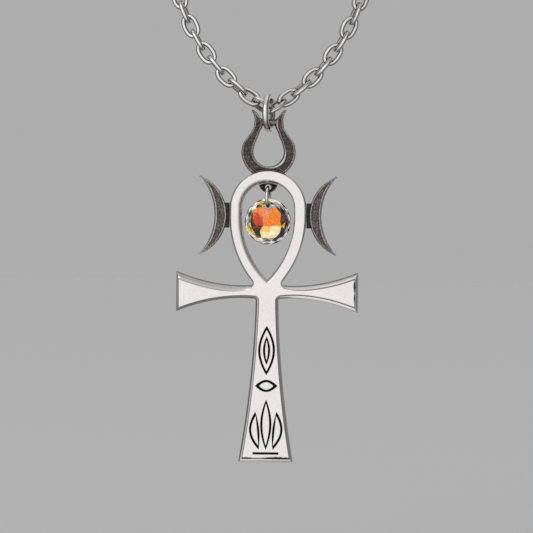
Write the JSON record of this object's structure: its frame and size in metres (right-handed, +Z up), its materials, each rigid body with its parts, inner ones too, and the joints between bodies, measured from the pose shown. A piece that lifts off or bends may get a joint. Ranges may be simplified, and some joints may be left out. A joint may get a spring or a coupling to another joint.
{
  "type": "ankh pendant necklace",
  "caption": "Necklace of oval cable links with an ankh pendant: horned crown on the loop, a crescent at each side and a faceted crystal hanging in the loop.",
  "frame": {"origin": "middle of the clasp at the nape, where the necklace is held up", "axes": "+Z up, -Y to the front, +X to the right as seen from the front"},
  "size_m": [0.1156, 0.122, 0.2329],
  "materials": {
    "bright_pewter": "polished",
    "dark_pewter": "dark patina with bright edges",
    "crystal": "faceted and clear",
    "ring_silver": "polished",
    "chain_silver": "polished"
  },
  "bodies": {
    "necklace": {"chain_left": "chain_silver", "chain_right": "chain_silver", "clasp": "chain_silver", "jump_ring": "ring_silver"},
    "pendant": {"ankh": "bright_pewter", "horned_crown": "dark_pewter", "moon_left": "dark_pewter", "moon_right": "dark_pewter", "crystal": "crystal", "crystal_ring": "ring_silver"}
  },
  "joints": [
    {"name": "pendant_swing", "type": "hinge", "parent": "necklace", "child": "pendant", "pos_m": [0, -0.116, -0.15872], "axis": [1, 0, 0], "range_deg": [-90, 90]}
  ]
}
